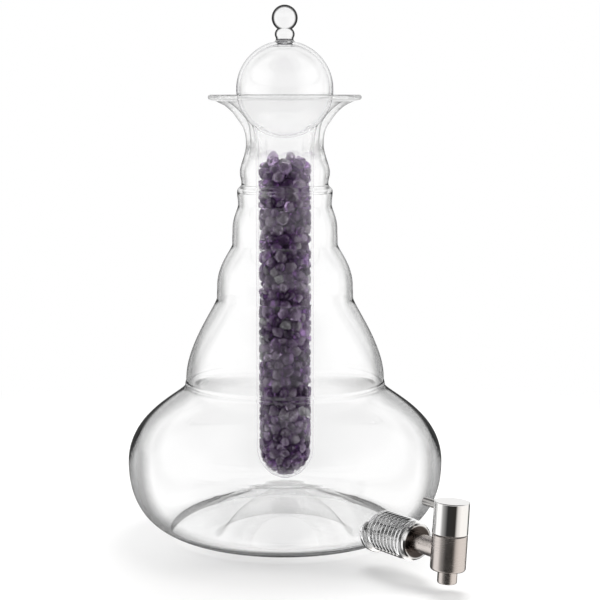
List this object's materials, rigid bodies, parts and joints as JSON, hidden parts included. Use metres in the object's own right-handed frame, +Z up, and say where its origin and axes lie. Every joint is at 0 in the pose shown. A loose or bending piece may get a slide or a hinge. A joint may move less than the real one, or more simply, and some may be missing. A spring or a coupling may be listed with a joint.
{
  "type": "water dispenser",
  "caption": "Tall bell-stacked glass flask with a gem-filled glass vial hanging in its mouth and a quarter-turn steel lever tap on a threaded outlet near its foot.",
  "frame": {"origin": "on the table, on the flask's axis, at the centre of the ring that the flask stands on", "axes": "+Z up along the flask's axis, the outlet and tap face -Y"},
  "size_m": [0.28, 0.3738, 0.4673],
  "materials": {
    "flask_glass": "clear, fire-polished",
    "vial_glass": "clear, fire-polished",
    "purple_stone": "tumbled amethyst chips",
    "clear_stone": "tumbled rock crystal chips",
    "silicone": "translucent, matt",
    "polished_steel": "polished",
    "satin_steel": "satin",
    "valve_plastic": "white, smooth",
    "seal_rubber": "black, matt"
  },
  "bodies": {
    "flask": {"flask_mouth": "flask_glass", "flask_neck": "flask_glass", "flask_bell": "flask_glass", "flask_shoulder": "flask_glass", "flask_bulb": "flask_glass", "flask_bowl": "flask_glass", "flask_base": "flask_glass", "outlet_neck": "flask_glass", "flange_gasket": "silicone", "tap_flange": "polished_steel", "shank": "satin_steel", "bung": "silicone", "bung_washer": "satin_steel", "shank_nut": "satin_steel", "tap_barrel": "satin_steel", "nozzle": "satin_steel", "nozzle_seal": "silicone", "plug_seat": "valve_plastic", "gland": "satin_steel", "spindle_seal": "seal_rubber"},
    "vial": {"ball_head": "vial_glass", "knob": "vial_glass", "vial_shoulder": "vial_glass", "vial_tube": "vial_glass", "purple_chips": "purple_stone", "clear_chips": "clear_stone"},
    "tap_lever": {"tap_cap": "polished_steel", "lever": "polished_steel", "spindle": "satin_steel", "valve_plug": "valve_plastic", "plug_seals": "seal_rubber"}
  },
  "joints": [
    {"name": "vial_lift", "type": "slide", "parent": "flask", "child": "vial", "axis": [0, 0, 1], "range_m": [0, 0.36]},
    {"name": "tap_turn", "type": "hinge", "parent": "flask", "child": "tap_lever", "pos_m": [0, -0.2196, 0.031], "axis": [0.0698, 0, 0.9976], "range_deg": [0, 90]}
  ]
}
